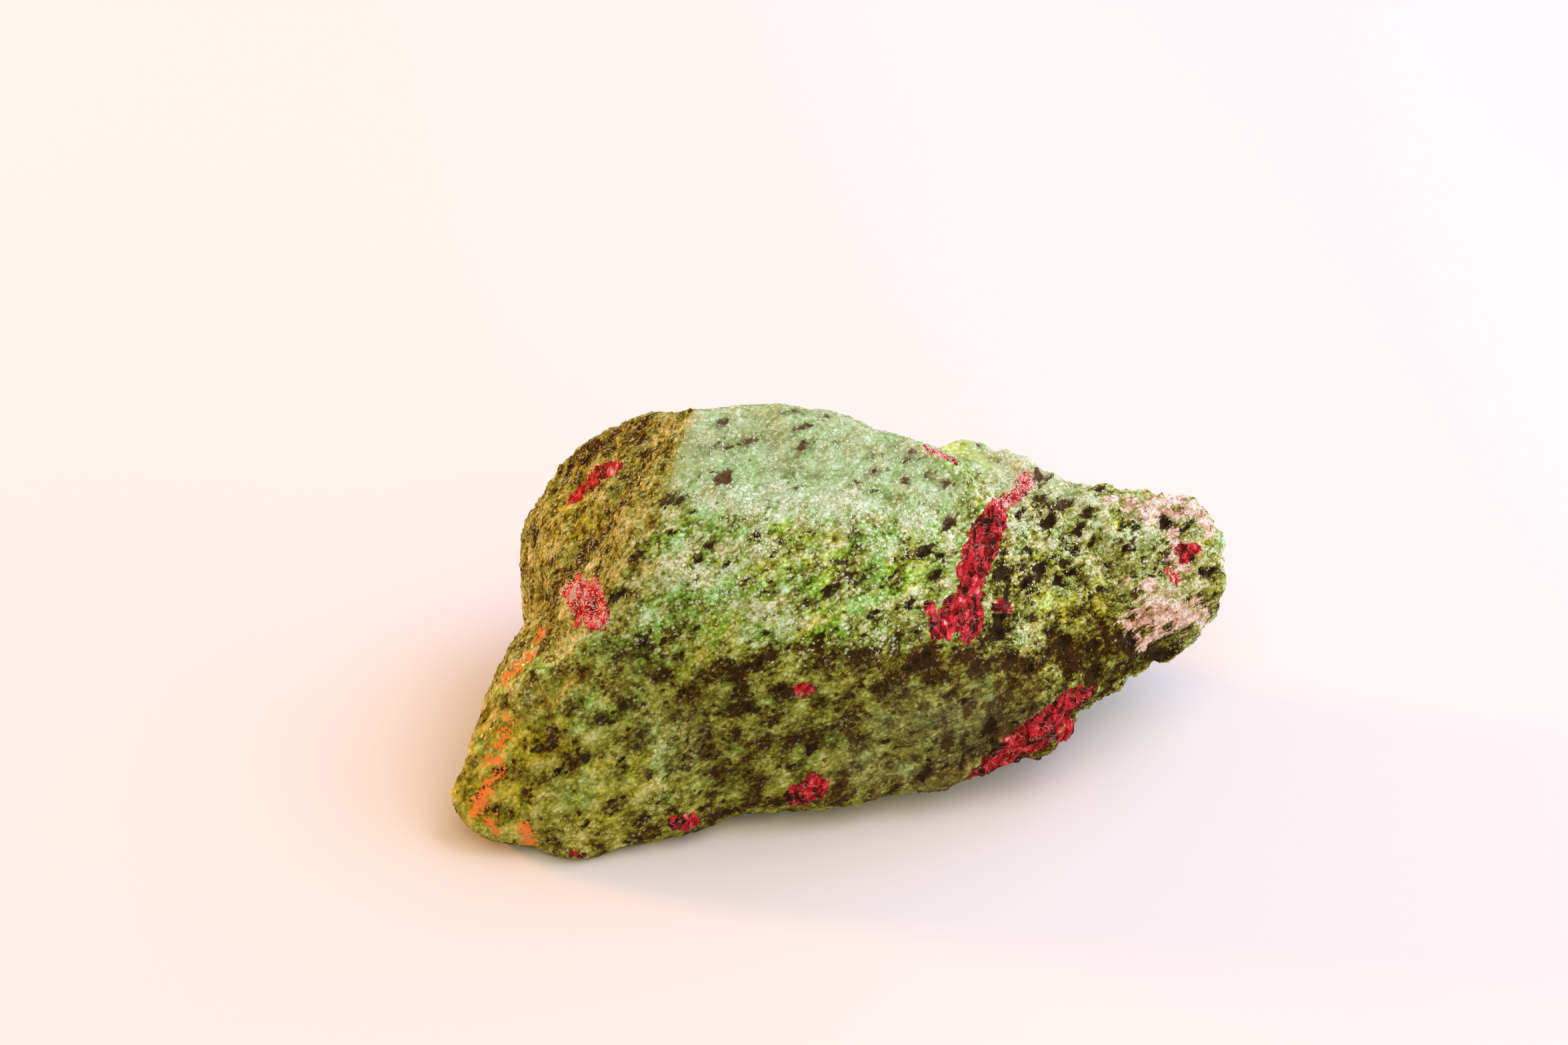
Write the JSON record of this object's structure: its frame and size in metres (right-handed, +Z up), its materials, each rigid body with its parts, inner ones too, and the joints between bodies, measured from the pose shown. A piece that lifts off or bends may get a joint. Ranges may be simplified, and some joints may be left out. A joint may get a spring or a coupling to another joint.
{
  "type": "ruby in zoisite",
  "caption": "Rough hand-sized stone of green zoisite with red ruby crystals and black hornblende flecks, lying on a flat break.",
  "frame": {"origin": "middle of the stone's bounding box, on the plane it rests on", "axes": "+X along the stone towards its blunt nose, +Y towards its steep back, +Z up"},
  "size_m": [0.0798, 0.0405, 0.0337],
  "materials": {
    "zoisite": "rough broken rock, sugary green zoisite with red ruby crystals and black hornblende flecks"
  },
  "bodies": {
    "root": {"stone": "zoisite"}
  },
  "joints": []
}
